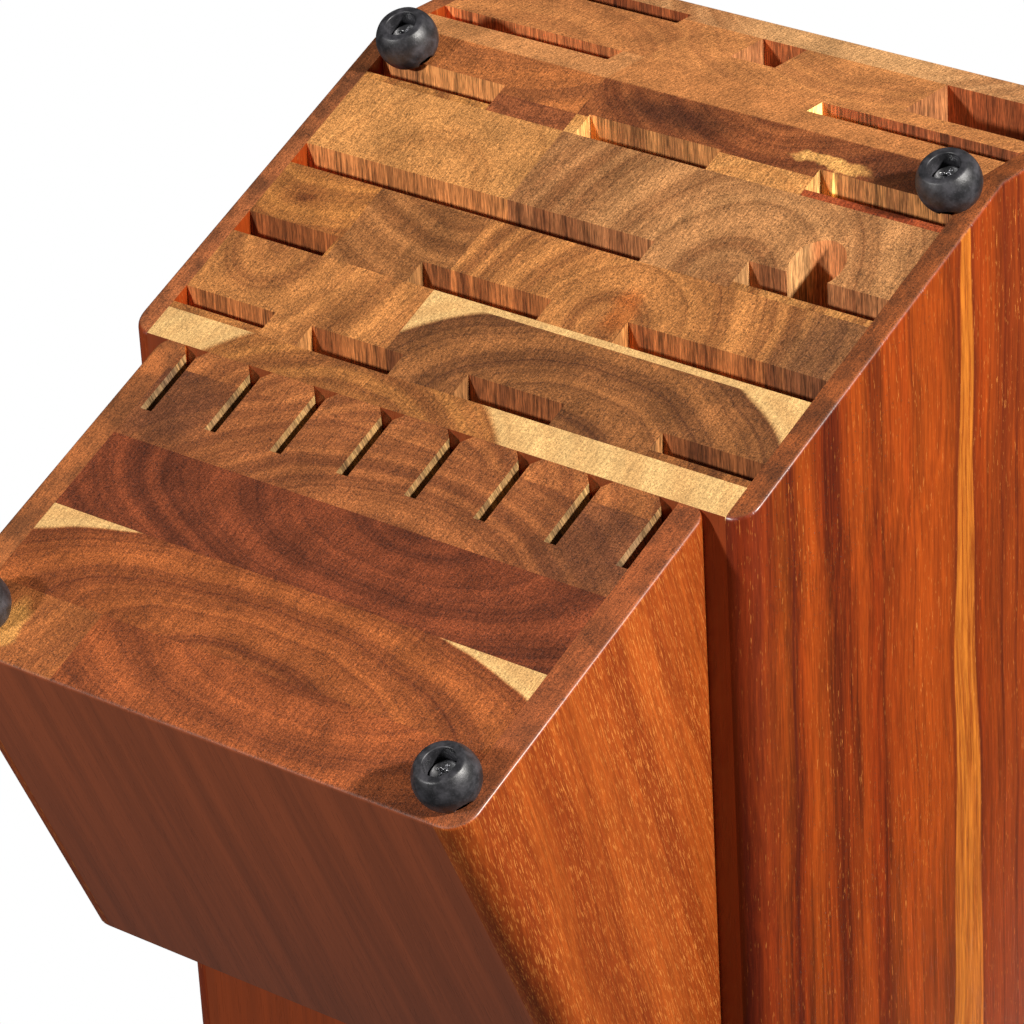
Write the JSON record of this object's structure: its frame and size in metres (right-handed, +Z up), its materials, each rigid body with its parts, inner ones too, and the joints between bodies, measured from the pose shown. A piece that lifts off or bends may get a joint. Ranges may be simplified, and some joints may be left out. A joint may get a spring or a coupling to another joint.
{
  "type": "knife block",
  "caption": "Countertop knife block in laminated wood: a slotted block leaning forward over a smaller steak-knife block, on rubber feet.",
  "frame": {"origin": "centre of the bounding box's bottom face, on the surface that the feet stand on", "axes": "+Z up, front of the block faces -Y, +X to the right of a person in front of it"},
  "size_m": [0.188, 0.2558, 0.2625],
  "materials": {
    "board_wood": "sawn and sanded acacia boards, oiled, satin",
    "main_side_wood": "lacquered acacia panel, glossy",
    "steak_side_wood": "lacquered acacia panel, glossy",
    "foot_rubber": "black moulded rubber, satin",
    "screw_steel": "bright zinc-plated pan-head screw"
  },
  "bodies": {
    "root": {"front_board": "board_wood", "row_a_board_left": "board_wood", "row_a_board_right": "board_wood", "row_a_slip_left": "board_wood", "row_a_slip_right": "board_wood", "row_b_board_left": "board_wood", "row_b_board_middle": "board_wood", "row_b_board_right": "board_wood", "row_b_slip_left": "board_wood", "row_c_board_left": "board_wood", "row_c_board_right": "board_wood", "row_c_slip_left": "board_wood", "row_d_spacer_left": "board_wood", "row_d_spacer_middle": "board_wood", "row_d_spacer_right": "board_wood", "row_d_slip_left": "board_wood", "row_d_slip_right": "board_wood", "row_e_board_left": "board_wood", "row_e_board_right": "board_wood", "row_f_board_left": "board_wood", "row_f_board_right": "board_wood", "rear_board": "board_wood", "main_side_left": "main_side_wood", "main_side_right": "main_side_wood", "steak_rear_wedge": "board_wood", "steak_kerf_board": "board_wood", "steak_back_board": "board_wood", "steak_core_board": "board_wood", "steak_front_stave_left": "board_wood", "steak_front_stave_right": "board_wood", "steak_side_left": "steak_side_wood", "steak_side_right": "steak_side_wood", "foot_front_left": "foot_rubber", "foot_front_right": "foot_rubber", "foot_rear_left": "foot_rubber", "foot_rear_right": "foot_rubber", "foot_screws": "screw_steel"}
  },
  "joints": []
}
